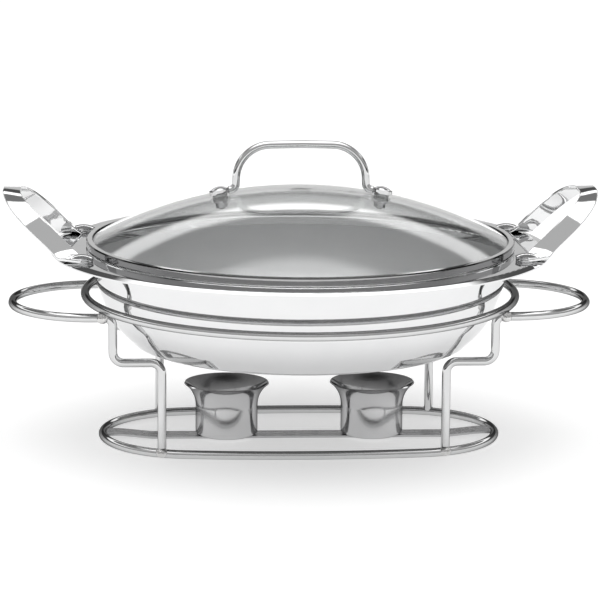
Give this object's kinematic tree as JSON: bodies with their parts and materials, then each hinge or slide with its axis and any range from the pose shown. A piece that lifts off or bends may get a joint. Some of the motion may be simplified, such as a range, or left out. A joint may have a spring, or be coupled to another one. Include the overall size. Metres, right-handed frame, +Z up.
{
  "type": "candle-warmed chafing dish",
  "caption": "Round steel pan with strap handles and a domed glass lid, held over tealight cups by a welded wire stand with side grips.",
  "frame": {"origin": "centre of the overall box on the table plane, under the pan's axis", "axes": "+X along the handles to the right one, +Y towards the back, +Z up"},
  "size_m": [0.415, 0.3504, 0.2119],
  "materials": {
    "bright_wire": "bright plated wire",
    "weld": "plated weld bead",
    "cup_steel": "satin to semi-bright steel",
    "polished_steel": "mirror-polished stainless steel",
    "fastener_steel": "semi-bright steel",
    "clear_glass": "clear tempered",
    "gasket_rubber": "translucent silicone"
  },
  "bodies": {
    "stand": {"base_ring": "bright_wire", "support_ring": "bright_wire", "leg_front_left": "bright_wire", "leg_front_right": "bright_wire", "leg_back_left": "bright_wire", "leg_back_right": "bright_wire", "grip_loop_left": "bright_wire", "grip_loop_right": "bright_wire", "weld_beads_upper": "weld", "weld_beads_lower": "weld", "cup_strap": "cup_steel", "candle_cup_left": "cup_steel", "candle_cup_right": "cup_steel"},
    "pan": {"food_pan": "polished_steel", "pan_handle_left": "polished_steel", "pan_handle_right": "polished_steel", "pan_handle_rivets": "fastener_steel"},
    "lid": {"lid_glass": "clear_glass", "lid_rim_band": "polished_steel", "lid_handle": "polished_steel", "lid_handle_screws": "fastener_steel", "lid_outer_gaskets": "gasket_rubber", "lid_inner_gaskets": "gasket_rubber", "lid_handle_washers": "fastener_steel", "lid_handle_nuts": "fastener_steel"}
  },
  "joints": [
    {"name": "pan_lift", "type": "slide", "parent": "stand", "child": "pan", "axis": [0, 0, 1], "range_m": [0, 0.15]},
    {"name": "lid_lift", "type": "slide", "parent": "pan", "child": "lid", "axis": [0, 0, 1], "range_m": [0, 0.15]}
  ]
}
